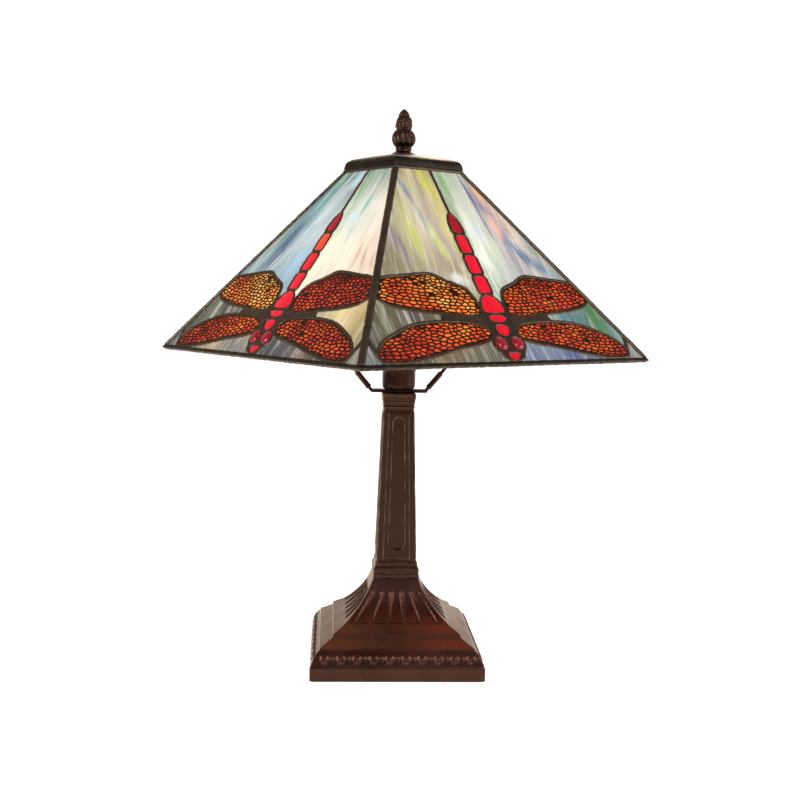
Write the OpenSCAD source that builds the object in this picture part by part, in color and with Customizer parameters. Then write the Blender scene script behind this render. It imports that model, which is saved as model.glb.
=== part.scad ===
// Table lamp with a square leaded-glass shade on a harp, a tapered square column and a flared square base.
// Millimetres. Z is up, the underside is at z = 0, and the lamp's axis is the Z axis. The front faces -Y.

/* [Shade] */
// Outside width of the shade at its bottom edge
shade_w = 354; // [300:2:400]
// Outside width of the shade at its top opening
shade_top_w = 80.5; // [70:0.5:100]
// Height of the glass faces, bottom edge to top opening
shade_rise = 185; // [160:1:210]
// Height of the shade's bottom edge above the table
shade_z = 317; // [300:1:330]
// How far the shade is turned on its seat, seen from above
shade_turn = -10.6; // [-45:0.1:45]
// Thickness of the glass
glass_t = 2.6; // [2:0.1:4]
// How far the solder lines stand out of the glass on each side
lead_proud = 0.7; // [0.4:0.1:1.5]

/* [Base] */
// Half width of the base at the table
base_hw = 86; // [75:0.5:95]
// Half width of the base under the column
base_top_hw = 23.4; // [21:0.2:26]
// Height of the base casting's top
base_top_z = 88.6; // [80:0.2:95]
// Hollows on each face of the flared part
flutes = 5; // [3:1:7]
// Eggs along each side of the moulded band
eggs = 10; // [6:1:12]

/* [Column] */
// Half width of the shaft at its bottom
shaft_hw0 = 20.4; // [18:0.1:24]
// Half width of the shaft at its top
shaft_hw1 = 15.4; // [13:0.1:18]
// Height of the column's top face
column_z = 277.4; // [250:0.5:290]

/* [Harp, socket and bulb] */
// Radius of the harp wire
wire_r = 1.7; // [1.4:0.1:2.2]
// Half width of the harp at its widest
harp_hw = 58; // [50:1:60]
// Slope of the saddle's arms from horizontal
arm_angle = 50; // [40:1:60]
// Radius of the bulb's globe
bulb_r = 30; // [22:1:32]

/* [Finial] */
// Largest radius of the finial's lower bulb
finial_r = 12.4; // [10:0.1:15]

/* [Hidden] */
$fn = 48;

brass = [0.62, 0.5, 0.28];
bronze = [0.25, 0.19, 0.16];
mahogany = [0.38, 0.2, 0.15];
red = [0.85, 0.08, 0.2];
orange = [0.9, 0.5, 0.12];
opal = [0.75, 0.85, 0.8];

pipe_r = 5;
hole_r = 5.15;
stud_r = 3.2;
felt_t = 0.8;
cap_z = shade_z + shade_rise - 0.2;
crown_z = cap_z + 15.2;
seat_z = crown_z - 10;
half_b = shade_w / 2;
run = (shade_w - shade_top_w) / 2;
slant = sqrt(run * run + shade_rise * shade_rise);
tilt = atan(shade_rise / run);
came = 3.7;
rim_v = 3.2;
lead_in = -glass_t - lead_proud;
ring_v = slant - 4.2;
// Half the angle between two neighbouring faces' normals
half_turn = acos(cos(tilt) * cos(tilt)) / 2;

// ---- Outlines ----

// A point of a face's section: v up the slope, w out of the glass, as [distance from the axis, height]
function sec(v, w) = [half_b - v * cos(tilt) + w * sin(tilt), shade_z + v * sin(tilt) + w * cos(tilt)];

// Smooth closed curve through points, with s steps between neighbours
function curve(p, s = 3) = [for (i = [0 : len(p) - 1], k = [0 : s - 1])
    let (n = len(p), t = k / s, a = p[(i + n - 1) % n], b = p[i], c = p[(i + 1) % n], d = p[(i + 2) % n])
    0.5 * (2 * b + (c - a) * t + (2 * a - 5 * b + 4 * c - d) * t * t + (3 * b - a - 3 * c + d) * t * t * t)];

// The outline moved in by d, for points in anticlockwise order
function inset(p, d) = [for (i = [0 : len(p) - 1])
    let (n = len(p), t = p[(i + 1) % n] - p[(i + n - 1) % n], l = norm(t))
    p[i] + d * [-t[1], t[0]] / l];

// Quadratic curve with s steps
function bend(a, b, c, s = 8) = [for (i = [0 : s]) let (t = i / s)
    (1 - t) * (1 - t) * a + 2 * t * (1 - t) * b + t * t * c];

function arc(r, a0, a1, s, c = [0, 0]) = [for (i = [0 : s])
    let (a = a0 + (a1 - a0) * i / s) c + r * [cos(a), sin(a)]];

// Both sides of a section given from the axis outward
function both(p) = concat(p, [for (i = [len(p) - 1 : -1 : 0]) if (p[i][0] > 0.001) [-p[i][0], p[i][1]]]);

// Square solid whose half width at each height follows the section p
module square_solid(p) {
    intersection() {
        rotate([90, 0, 0]) linear_extrude(520, center = true) polygon(both(p));
        rotate([90, 0, 90]) linear_extrude(520, center = true) polygon(both(p));
    }
}

module four() {
    for (i = [0 : 3]) rotate([0, 0, 90 * i]) children();
}

module tube(r, h, bore) {
    difference() {
        cylinder(r = r, h = h);
        translate([0, 0, -1]) cylinder(r = bore, h = h + 2);
    }
}

// ---- Base ----

bell = bend([53, base_top_z - 41], [30.5, base_top_z - 22.6], [base_top_hw, base_top_z], 10);
base_section = concat([[0, felt_t], [base_hw, felt_t], [base_hw, 14.2]],
    bend([base_hw - 0.9, 15.1], [base_hw - 2.2, 22.6], [base_hw - 8, 28], 6), [[base_hw - 9, 28.6],
    [base_hw - 9.2, 30.4], [base_hw - 10.4, 31], [65, 37.4], [63.8, 38], [63.6, 41.3], [62, 42]], bell,
    [[0, base_top_z]]);
bell_inset = concat([[0, 30], [66, 30]],
    bend([52.5, base_top_z - 41.5], [28.8, base_top_z - 24.2], [base_top_hw - 1.2, base_top_z + 1], 10),
    [[0, base_top_z + 1]]);
base_hollow = [[0, -1], [80.4, -1], [80.4, 11], [76, 20], [69, 27.5], [59, 34], [57, 37.5], [48.5, 44.5],
    [41, 52], [33, 61.5], [26, 72], [21, 80], [18, base_top_z - 5], [0, base_top_z - 5]];

// One hollow between the ribs of the flared part, spreading downward
module flute(i) {
    m = i - (flutes - 1) / 2;
    pitch0 = 50 / flutes;
    pitch1 = 88 / flutes;
    zt = base_top_z - 15;
    zb = base_top_z - 39.6;
    polygon(concat([[(m + 0.41) * pitch1, zb]], arc(0.4 * pitch0, 0, 180, 6, [m * pitch0, zt]),
        [[(m - 0.41) * pitch1, zb]]));
}

// Egg in its shell, open at the top, that stands out of the moulded band
module egg() {
    linear_extrude(2.2) {
        difference() {
            union() {
                translate([0, -0.4]) circle(3.7);
                translate([-3.7, -0.4]) square([7.4, 4]);
            }
            translate([0, -0.4]) circle(2.8);
            translate([-2.8, -0.4]) square([5.6, 5]);
        }
        circle(1.6);
    }
}

module base_casting() {
    pitch = 2 * (base_hw - 6.4) / eggs;
    color(mahogany) {
        difference() {
            square_solid(base_section);
            square_solid(base_hollow);
            translate([0, 0, base_top_z - 15]) cylinder(r = hole_r, h = 20);
            translate([0, base_hw + 1, 7]) rotate([90, 0, 0]) cylinder(r = 4, h = 10);
            difference() {
                four() rotate([90, 0, 0]) linear_extrude(60) for (i = [0 : flutes - 1]) flute(i);
                square_solid(bell_inset);
            }
        }
        four() translate([0, -(base_hw - 3.35), 22.1]) rotate([62, 0, 0]) translate([0, 0, -1.3]) {
            for (i = [0 : eggs - 1]) translate([(i - (eggs - 1) / 2) * pitch, 0, 0]) egg();
            for (i = [1 : eggs - 1]) translate([(i - eggs / 2) * pitch, 0, 0]) linear_extrude(2)
                polygon([[-1.2, 2.8], [0, -2.4], [1.2, 2.8]]);
        }
    }
}

module felt_pad() {
    color([0.1, 0.12, 0.1]) translate([0, 0, felt_t / 2])
        cube([2 * base_hw - 5, 2 * base_hw - 5, felt_t], center = true);
}

module base_weight() {
    color([0.3, 0.3, 0.3]) difference() {
        translate([0, 0, felt_t + 3]) cube([158, 158, 6], center = true);
        cylinder(r = 22, h = 20, center = true);
        translate([-7, 60, 0]) cube([14, 30, 10]);
    }
}

// Bush where the cord leaves the back of the base
module cord_bushing() {
    color([0.08, 0.08, 0.08]) translate([0, base_hw + 1.5, 7]) rotate([90, 0, 0]) difference() {
        union() {
            cylinder(r = 4, h = 8.4);
            cylinder(r = 4.8, h = 1.5);
            translate([0, 0, 7.3]) cylinder(r = 4.6, h = 1.1);
        }
        translate([0, 0, -1]) cylinder(r = 2.8, h = 12);
    }
}

module pipe_washer() {
    color(brass) translate([0, 0, base_top_z - 6.5]) tube(11, 1.5, hole_r);
}

module pipe_locknut() {
    color(brass) translate([0, 0, base_top_z - 11.5]) difference() {
        cylinder(r = 8.6, h = 5, $fn = 6);
        translate([0, 0, -1]) cylinder(r = pipe_r, h = 7, $fn = 48);
    }
}

module threaded_pipe() {
    color(brass) translate([0, 0, base_top_z - 17]) tube(pipe_r, column_z - base_top_z + 27.6, 3.6);
}

// ---- Column ----

foot_z = base_top_z + 16.4;
head_z = column_z - 15.6;
shaft = [[0, foot_z - 1], [shaft_hw0, foot_z], [shaft_hw1, head_z + 0.4], [0, head_z + 1]];
foot = [[0, base_top_z], [23.6, base_top_z], [23.6, base_top_z + 3.4], [22.9, base_top_z + 4.4],
    [23.4, base_top_z + 5.4], [23.4, base_top_z + 9.4], [22.2, base_top_z + 10.6],
    [21.4, base_top_z + 12.2], [21.8, base_top_z + 13.6], [21.8, base_top_z + 15.4],
    [shaft_hw0, foot_z], [0, foot_z]];
head = [[0, head_z], [shaft_hw1, head_z], [16.1, head_z + 0.8], [16.1, head_z + 1.8],
    [15.6, head_z + 2.6], [15.9, head_z + 5.4], [16.5, head_z + 6.4], [16.5, head_z + 7.2],
    [16.3, head_z + 8], [17, head_z + 10.4], [17.1, column_z - 3], [0, column_z - 3]];
function shaft_hw(z) = shaft_hw0 + (shaft_hw1 - shaft_hw0) * (z - foot_z) / (head_z - foot_z);
function inside_shaft(d) = [[0, 80], [shaft_hw(80) - d, 80], [shaft_hw(280) - d, 280], [0, 280]];
panel_z0 = foot_z + 2.4;
panel_z1 = head_z - 4.2;

module panel() {
    polygon([[-13.9, panel_z0], [13.9, panel_z0], [10.2, panel_z1], [-10.2, panel_z1]]);
}

module slot() {
    polygon(concat(arc(5.4, 0, 180, 8, [0, panel_z1 - 10.2]), arc(7.8, 180, 360, 8, [0, panel_z0 + 17.4])));
}

module column() {
    color(bronze) difference() {
        union() {
            square_solid(foot);
            square_solid(shaft);
            square_solid(head);
            intersection() {
                four() rotate([90, 0, 0]) linear_extrude(40) panel();
                square_solid(inside_shaft(-0.9));
            }
        }
        difference() {
            four() rotate([90, 0, 0]) linear_extrude(40) slot();
            square_solid(inside_shaft(1.7));
        }
        square_solid([[0, 80], [14, 80], [10.2, head_z + 6], [0, head_z + 6]]);
        cylinder(r = hole_r, h = 300);
    }
}

module column_collar() {
    color(bronze) difference() {
        square_solid([[0, column_z - 3], [17.1, column_z - 3], [17.1, column_z - 0.8], [16.3, column_z],
            [0, column_z]]);
        cylinder(r = hole_r, h = 300);
    }
}

// ---- Harp ----

arm_x = 27.6;
arm_z = column_z + 1.5;
joint_s = 14;
leg_end = 36;
leg_pt = [arm_x + leg_end * cos(arm_angle), arm_z + leg_end * sin(arm_angle)];
knee_r = (harp_hw - leg_pt[0]) / (1 - sin(arm_angle));
knee_z = leg_pt[1] + knee_r * cos(arm_angle);
bow_r = 48;
harp_top = seat_z - 6.5;
bow_z = harp_top - bow_r;
// Straight stretches are this much thinner than the bends, and run this far into them
ease = 0.02;
lap = 0.2;

module on_arm() {
    translate([arm_x, 0, arm_z]) rotate([0, 90 - arm_angle, 0]) children();
}

module wire_arc(r, a0, a1) {
    rotate([90, 0, 0]) rotate([0, 0, a0]) rotate_extrude(angle = a1 - a0) translate([r, 0]) circle(wire_r);
}

module harp_saddle() {
    color(bronze) difference() {
        union() {
            translate([-arm_x, -7, column_z]) cube([2 * arm_x, 14, 2.9]);
            for (m = [0, 1]) mirror([m, 0, 0]) {
                translate([arm_x, 7, arm_z]) rotate([90, 0, 0]) cylinder(r = 1.45, h = 14);
                on_arm() translate([-1.4, -4, 0]) cube([2.8, 8, 4]);
                on_arm() cylinder(r = wire_r, h = joint_s - 0.2);
            }
        }
        cylinder(r = hole_r, h = 300);
    }
}

// The hoop: two straight legs, two knees, two sides, two bows and a flat top with its boss
module harp_hoop() {
    r = wire_r - ease;
    color(bronze) union() {
        for (m = [0, 1]) mirror([m, 0, 0]) {
            on_arm() translate([0, 0, joint_s]) cylinder(r = r, h = leg_end - joint_s + lap);
            translate([harp_hw - knee_r, 0, knee_z]) wire_arc(knee_r, arm_angle - 90, 0);
            translate([harp_hw, 0, knee_z - lap]) cylinder(r = r, h = bow_z - knee_z + 2 * lap);
            translate([harp_hw - bow_r, 0, bow_z]) wire_arc(bow_r, 0, 90);
        }
        translate([-harp_hw + bow_r - lap, 0, harp_top]) rotate([0, 90, 0])
            cylinder(r = r, h = 2 * (harp_hw - bow_r + lap));
        translate([0, 0, harp_top - 3.2]) cylinder(r = 8, h = seat_z - harp_top + 3.2);
    }
}

module harp_stud() {
    color(brass) translate([0, 0, seat_z]) cylinder(r = stud_r, h = 23);
}

module ferrule() {
    color(bronze) on_arm() translate([0, 0, 4.4]) difference() {
        union() {
            cylinder(r = 2.7, h = 20);
            cylinder(r = 3, h = 1.6);
        }
        translate([0, 0, -1]) cylinder(r = wire_r + 0.05, h = 22);
    }
}

module ferrule_right() {
    ferrule();
}

module ferrule_left() {
    mirror([1, 0, 0]) ferrule();
}

// ---- Socket and bulb ----

socket_z = column_z + 2.9;
switch_z = socket_z + 32;

module socket_cup() {
    color(bronze) translate([0, 0, socket_z]) rotate_extrude() polygon(concat([[hole_r, 0], [12.8, 0]],
        bend([12.8, 0], [16.6, 0.4], [16.9, 5], 5), [[16.9, 18.5], [17.4, 19.3], [17.4, 21.4], [16.9, 22.4],
        [16.1, 22.4], [16.1, 5]], bend([16.1, 5], [15.8, 1.4], [12.6, 1.2], 4), [[hole_r, 1.2]]));
}

module socket_core() {
    color([0.9, 0.9, 0.86]) difference() {
        translate([0, 0, socket_z + 1.2]) cylinder(r = 11.5, h = 8);
        translate([0, 0, socket_z]) cylinder(r = hole_r, h = 8);
    }
    color([0.9, 0.9, 0.86]) difference() {
        translate([0, 0, socket_z + 9.2]) cylinder(r = 15.3, h = 30);
        translate([0, -5, switch_z]) rotate([90, 0, 0]) cylinder(r = 2.05, h = 20);
    }
}

module socket_shell() {
    color(brass) difference() {
        translate([0, 0, socket_z + 9.2]) tube(16.05, 65, 15.3);
        translate([0, 0, switch_z]) rotate([90, 0, 0]) cylinder(r = 2.6, h = 30);
    }
}

module screw_shell() {
    color(brass) translate([0, 0, socket_z + 39.2]) difference() {
        cylinder(r = 13.9, h = 30);
        translate([0, 0, 0.6]) cylinder(r = 13.4, h = 40);
    }
}

module centre_contact() {
    color(brass) translate([0, 0, socket_z + 39.8]) cylinder(r = 4, h = 1.4);
}

module switch_knob() {
    color([0.06, 0.05, 0.05]) translate([0, 0, switch_z]) rotate([90, 0, 0]) {
        translate([0, 0, 8]) cylinder(r = 2, h = 20);
        translate([0, 0, 24]) cylinder(r1 = 3.2, r2 = 4.6, h = 3);
        translate([0, 0, 27]) difference() {
            cylinder(r = 4.6, h = 11);
            for (i = [0 : 7]) rotate([0, 0, 45 * i]) translate([4.9, 0, 1.5]) cylinder(r = 0.8, h = 12);
        }
    }
}

lamp_z = socket_z + 41.5;

module bulb_contact() {
    color([0.12, 0.12, 0.12]) translate([0, 0, lamp_z]) union() {
        cylinder(r = 4.4, h = 1);
        translate([0, 0, 1]) cylinder(r1 = 6, r2 = 9.6, h = 2.6);
    }
}

module bulb_base() {
    color([0.75, 0.75, 0.72]) translate([0, 0, lamp_z + 3.6]) {
        cylinder(r1 = 9.6, r2 = 12.2, h = 2.4);
        translate([0, 0, 2.4]) cylinder(r = 12.2, h = 20.4);
        for (i = [0 : 4]) translate([0, 0, 5 + 3.6 * i]) rotate_extrude() translate([11.6, 0]) circle(1.4);
    }
}

glass_z = lamp_z + 26.4;
bulb_top = glass_z + 83.6;
globe_z = bulb_top - bulb_r;

function globe(d) = concat(bend([12.6 - d, 0], [13.4 - d, 16], [21 - d, globe_z - glass_z - 23.5], 6),
    arc(bulb_r - d, -42, 90, 14, [0, globe_z - glass_z]));

module bulb_glass() {
    color([0.95, 0.93, 0.88]) translate([0, 0, glass_z]) rotate_extrude() difference() {
        polygon(concat([[0, 0]], globe(0)));
        polygon(concat([[0, -0.1], [11.6, -0.1]], globe(1)));
    }
}

// ---- Shade frame ----

module turned() {
    rotate([0, 0, 45 + shade_turn]) children();
}

module shade_rim() {
    color(bronze) turned() difference() {
        square_solid([[0, sec(-0.5, lead_in)[1]], sec(-0.5, lead_in), sec(-0.5, 0.9), sec(rim_v, 0.9),
            [0, sec(rim_v, 0.9)[1]]]);
        square_solid([[0, sec(-0.5, lead_in)[1] - 5], sec(-0.5, lead_in) - [0, 5], sec(-0.5, lead_in),
            sec(rim_v, lead_in), sec(rim_v, 0.9), sec(rim_v, 0.9) + [0, 5], [0, sec(rim_v, 0.9)[1] + 5]]);
    }
}

ring_hw = sec(ring_v, 1.2)[0] - 0.6;

module shade_top_ring() {
    top = cap_z - shade_z;
    vi = (top - lead_in * cos(tilt)) / sin(tilt);
    low_i = sec(ring_v, lead_in);
    color(bronze) turned() difference() {
        square_solid([[0, low_i[1]], low_i, sec(ring_v, 1.2), [ring_hw, cap_z], [0, cap_z]]);
        square_solid([[0, low_i[1] - 5], low_i - [0, 5], low_i, sec(vi, lead_in), sec(vi, lead_in) + [0, 5],
            [0, cap_z + 5]]);
    }
}

// Section of the came that covers a corner, with a rounded back
function hip_section() = let (c = cos(half_turn), s = sin(half_turn),
        e = came * [c, -s] + 0.9 * [s, c], q = came * [c, -s] + lead_in * [s, c],
        top = 1.4, sag = top - e[1], r = (e[0] * e[0] + sag * sag) / (2 * sag), a = asin(e[0] / r))
    concat([[-q[0], q[1]], q], arc(r, 90 - a, 90 + a, 8, [0, top - r]));

module shade_hips() {
    rise_angle = atan(shade_rise / (run * sqrt(2)));
    color(bronze) rotate([0, 0, shade_turn]) difference() {
        intersection() {
            four() translate([half_b * sqrt(2), 0, shade_z]) rotate([0, rise_angle - 90, 0])
                rotate([0, 0, -90]) translate([0, 0, -10]) linear_extrude(300) polygon(hip_section());
            rotate([0, 0, 45]) square_solid([[0, sec(rim_v, -60)[1]], sec(rim_v, -60), sec(rim_v, 400),
                [0, sec(rim_v, 400)[1]]]);
        }
        rotate([0, 0, 45]) square_solid([[0, sec(ring_v, -50)[1]], sec(ring_v, -50), sec(ring_v, 60),
            [sec(ring_v, 60)[0], 600], [0, 600]]);
    }
}

module shade_cap() {
    color(bronze) turned() difference() {
        square_solid(concat([[0, cap_z], [ring_hw, cap_z]], bend([ring_hw - 0.7, cap_z + 4.2],
            [ring_hw - 1.6, cap_z + 8.8], [ring_hw - 7, cap_z + 10.4], 5), [[26, cap_z + 13],
            [14, crown_z - 0.4], [12.6, crown_z], [0, crown_z]]));
        square_solid([[0, cap_z - 1], [ring_hw - 2.6, cap_z - 1], [ring_hw - 2.6, cap_z + 0.6],
            [ring_hw - 3.4, cap_z + 5], [ring_hw - 8, cap_z + 8.1], [25, cap_z + 10.8],
            [13, crown_z - 2.4], [0, crown_z - 2.4]]);
        translate([0, 0, cap_z]) cylinder(r = 3.6, h = 40);
    }
}

module shade_seat() {
    color(brass) translate([0, 0, seat_z]) tube(11, crown_z - 2.4 - seat_z, 3.6);
}

module finial() {
    k = finial_r;
    color(bronze) translate([0, 0, crown_z]) difference() {
        rotate_extrude() polygon(concat([[0, 0], [11.8, 0], [11.8, 1], [10.9, 1.8]],
            bend([9.6, 2.4], [8, 3.2], [7.6, 5.4], 4), [[8.2, 6.2], [8.2, 7], [7.6, 7.8]],
            bend([8, 8.4], [k * 1.02, 10.4], [k, 16.2], 5), bend([k, 16.2], [k * 0.96, 21.6], [8.2, 24.4], 5),
            [[7.6, 25.2], [7.6, 26], [8.4, 27.4]], bend([9, 29], [9.2, 34], [6, 39], 5),
            [[4.2, 42.4], [2.2, 44.8], [0, 46]]));
        translate([0, 0, -1]) cylinder(r = stud_r + 0.05, h = 16);
    }
}

// ---- Glass faces: u across, v up the slope, w out of the glass ----

wing_up = curve([[14.5, 62], [15.5, 54.5], [22, 51], [34, 50.2], [50, 51.5], [70, 54.2], [90, 56],
    [110, 59.5], [124, 64], [132, 71.5], [132, 81], [126, 91], [113, 96], [95, 98], [77, 100.2],
    [62, 101.4], [53, 99.8], [43.5, 94.4], [33, 90], [23, 85.5], [17.5, 78.5], [15, 70]]);
wing_low = curve([[21, 24.5], [34, 20.5], [52, 17.5], [72, 13.4], [92, 8.6], [112, 4.8], [132, 2.2],
    [146, 2.4], [154.5, 7.5], [154, 16.5], [141.5, 28.5], [126, 36.2], [110, 42.8], [93, 46.8],
    [70, 48.6], [45, 48.2], [25, 45.2], [15.5, 38.5], [14.4, 30]]);
tail = [[146, 125.8, 6], [122, 102, 6.7], [98, 79.2, 7]];
foil = 3.1;

module face_plate() {
    g = came / cos(atan(run / slant));
    polygon([[-half_b + g + rim_v * run / slant, rim_v], [half_b - g - rim_v * run / slant, rim_v],
        [half_b - g - ring_v * run / slant, ring_v], [-half_b + g + ring_v * run / slant, ring_v]]);
}

module pair() {
    for (m = [0, 1]) mirror([m, 0, 0]) children();
}

// Bars of glass with rounded corners, each between two heights, and the pointed one at the tip
module tail_bars(grow) {
    for (t = tail) let (g = t[2] + grow, r = 4.4 + grow, q = 2 + grow)
        polygon(concat(arc(q, 180, 270, 3, [q - g, t[1] - grow + q]),
            arc(q, 270, 360, 3, [g - q, t[1] - grow + q]),
            arc(r, 0, 90, 5, [g - r, t[0] + grow - r]), arc(r, 90, 180, 5, [r - g, t[0] + grow - r])));
    polygon(curve([[-4.6 - grow, 150.2 - grow], [4.6 + grow, 150.2 - grow], [5.8 + grow, 157],
        [3.7 + grow, 166], [0, 172.4 + grow], [-3.7 - grow, 166], [-5.8 - grow, 157]], 2));
}

module thorax(grow) {
    polygon(curve([[-12 - grow, 57.5 - grow], [12 + grow, 57.5 - grow], [11 + grow, 66], [7.6 + grow, 73.2],
        [0, 76.4 + grow], [-7.6 - grow, 73.2], [-11 - grow, 66]], 2));
}

module chest() {
    polygon(curve([[-10.6, 50.2], [-6, 46.8], [0, 46.2], [6, 46.8], [10.6, 50.2], [6, 53.6], [0, 52.9],
        [-6, 53.6]], 2));
    polygon(curve([[0, 30.8], [4, 32.4], [7.6, 37], [5.8, 41.6], [0, 42.8], [-5.8, 41.6], [-7.6, 37],
        [-4, 32.4]], 2));
}

module nose() {
    polygon(curve([[-6.6, 10], [-3.8, 5.8], [0, 4.2], [3.8, 5.8], [6.6, 10], [3.8, 12.4], [0, 11.6],
        [-3.8, 12.4]], 2));
}

module insect_body() {
    tail_bars(foil);
    thorax(foil);
    translate([-22, 36]) square([44, 24]);
    pair() translate([10, 22]) circle(10.4);
    polygon([[-13, 40], [13, 40], [20, 20], [12, 6], [0, 1], [-12, 6], [-20, 20]]);
}

// Solder that fills the narrow gap between two wings, and the lines at the middle and the corners
module stroke_lines() {
    translate([-1.9, 172]) square([3.8, 60]);
    pair() polygon([[13, 42], [40, 46], [64, 47.4], [68, 50], [64, 54.6], [40, 52], [13, 58]]);
    pair() polygon(concat(bend([155.5, 42], [157, 20], [145, -2], 6),
        bend([149, -3], [161.6, 18], [161, 42], 6)));
}

module frame_area() {
    intersection() {
        face_plate();
        union() {
            pair() polygon(wing_up);
            pair() polygon(wing_low);
            insect_body();
            stroke_lines();
        }
    }
}

module wing_windows(d) {
    intersection() {
        face_plate();
        union() {
            pair() polygon(inset(wing_up, d));
            pair() polygon(inset(wing_low, d));
        }
    }
}

module body_windows() {
    tail_bars(0);
    thorax(0);
    chest();
    nose();
}

module eye_windows() {
    pair() translate([10, 22]) circle(7);
}

// A wing's metal overlay: a border, and rows of cells laid like bricks
module wing_overlay(p, u0, u1, v0, rows, slope, cu, cv) {
    difference() {
        intersection() {
            face_plate();
            polygon(inset(p, 3.2));
        }
        intersection() {
            polygon(inset(p, 4.4));
            union() for (j = [0 : rows - 1], i = [0 : ceil((u1 - u0) / cu)]) {
                u = u0 + (i + 0.5 * (j % 2)) * cu;
                v = v0 + j * cv + slope * (u - u0);
                polygon([[u + 0.7, v + 0.7], [u + cu - 0.7, v + 0.7 + slope * cu],
                    [u + cu - 0.7, v + cv - 0.7 + slope * cu], [u + 0.7, v + cv - 0.7]]);
            }
        }
    }
}

module overlay() {
    pair() wing_overlay(wing_up, 8, 132, 50, 6, 0.09, 17.3, 8.9);
    pair() wing_overlay(wing_low, 6, 158, 26, 5, -0.13, 19.3, 8.9);
}

// Stands face i in place: 0 front right, 1 front left, 2 back left, 3 back right
module on_face(i) {
    turned() rotate([0, 0, -90 * i]) translate([0, -half_b, shade_z]) rotate([tilt, 0, 0]) children();
}

module slab(w0, w1) {
    translate([0, 0, w0]) linear_extrude(w1 - w0) children();
}

module leading(i) {
    color(bronze) on_face(i) slab(lead_in, lead_proud) difference() {
        frame_area();
        wing_windows(3.2);
        body_windows();
        eye_windows();
    }
}

module background(i) {
    color(opal) on_face(i) slab(-glass_t, 0) difference() {
        face_plate();
        pair() polygon(wing_up);
        pair() polygon(wing_low);
        insect_body();
        stroke_lines();
    }
}

module wings(i) {
    color(orange) on_face(i) slab(-glass_t, 0) wing_windows(3.2);
}

module filigree(i) {
    color(bronze) on_face(i) slab(0, 0.6) overlay();
}

module insect(i) {
    color(red) on_face(i) slab(-glass_t, 0.3) body_windows();
}

// Domed round jewels for the eyes
module eyes(i) {
    color(red) on_face(i) pair() translate([10, 22, 0]) {
        translate([0, 0, -glass_t]) cylinder(r = 7, h = glass_t);
        intersection() {
            cylinder(r = 7, h = 6);
            translate([0, 0, -6.2]) sphere(r = 9.6);
        }
    }
}

module leading_front_right() { leading(0); }
module leading_front_left() { leading(1); }
module leading_back_left() { leading(2); }
module leading_back_right() { leading(3); }
module glass_front_right() { background(0); }
module glass_front_left() { background(1); }
module glass_back_left() { background(2); }
module glass_back_right() { background(3); }
module wings_front_right() { wings(0); }
module wings_front_left() { wings(1); }
module wings_back_left() { wings(2); }
module wings_back_right() { wings(3); }
module filigree_front_right() { filigree(0); }
module filigree_front_left() { filigree(1); }
module filigree_back_left() { filigree(2); }
module filigree_back_right() { filigree(3); }
module body_front_right() { insect(0); }
module body_front_left() { insect(1); }
module body_back_left() { insect(2); }
module body_back_right() { insect(3); }
module eyes_front_right() { eyes(0); }
module eyes_front_left() { eyes(1); }
module eyes_back_left() { eyes(2); }
module eyes_back_right() { eyes(3); }

felt_pad();
base_weight();
base_casting();
cord_bushing();
pipe_washer();
pipe_locknut();
threaded_pipe();
column();
column_collar();
harp_saddle();
harp_hoop();
harp_stud();
ferrule_left();
ferrule_right();
socket_cup();
socket_core();
socket_shell();
screw_shell();
centre_contact();
switch_knob();
bulb_base();
bulb_contact();
bulb_glass();
shade_seat();
shade_cap();
shade_top_ring();
shade_hips();
shade_rim();
finial();
leading_front_right();
leading_front_left();
leading_back_left();
leading_back_right();
glass_front_right();
glass_front_left();
glass_back_left();
glass_back_right();
wings_front_right();
wings_front_left();
wings_back_left();
wings_back_right();
filigree_front_right();
filigree_front_left();
filigree_back_left();
filigree_back_right();
body_front_right();
body_front_left();
body_back_left();
body_back_right();
eyes_front_right();
eyes_front_left();
eyes_back_left();
eyes_back_right();
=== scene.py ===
"""Looks for the leaded-glass table lamp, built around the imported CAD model.

Lengths are metres in the CAD frame: +Z up, the lamp's axis at X = Y = 0 and its front towards -Y.
Each glass face has a frame of its own: u across, v up the slope and w out of the glass."""
import math

import bmesh
import bpy
import numpy as np
from mathutils import Matrix, Vector


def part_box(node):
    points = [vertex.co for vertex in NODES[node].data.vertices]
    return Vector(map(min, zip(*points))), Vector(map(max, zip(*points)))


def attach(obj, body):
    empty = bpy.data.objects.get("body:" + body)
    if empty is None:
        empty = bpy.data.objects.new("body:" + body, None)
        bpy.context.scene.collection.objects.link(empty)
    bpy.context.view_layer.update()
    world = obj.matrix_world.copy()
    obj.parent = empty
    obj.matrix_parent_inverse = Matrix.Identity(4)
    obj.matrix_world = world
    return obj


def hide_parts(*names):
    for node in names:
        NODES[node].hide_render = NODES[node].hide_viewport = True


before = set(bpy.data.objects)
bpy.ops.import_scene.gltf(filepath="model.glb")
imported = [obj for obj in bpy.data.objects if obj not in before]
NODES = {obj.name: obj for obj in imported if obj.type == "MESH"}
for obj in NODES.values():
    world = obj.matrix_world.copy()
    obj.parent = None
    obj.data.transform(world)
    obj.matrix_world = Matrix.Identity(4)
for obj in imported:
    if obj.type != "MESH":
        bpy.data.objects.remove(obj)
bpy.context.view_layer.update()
MM = 0.001
FACES = ("front_right", "front_left", "back_left", "back_right")

# The camera, where the photographer's stood: place, then turns in radians
CAMERA_AT = Vector((-0.0691, -1.2064, 0.3818))
CAMERA_YAW, CAMERA_PITCH, CAMERA_ROLL = -0.0586, -0.0929, 0.0209
CAMERA_LENS = 53.17

# Height of the rim's lip up the slope, and the tint of dark patina seen edge on
RIM_V = 3.2 * MM
PATINA_EDGE = (1.0, 0.84, 0.72, 1.0)
# Corners nearer than this are one corner
SAME = 0.002 * MM
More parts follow.
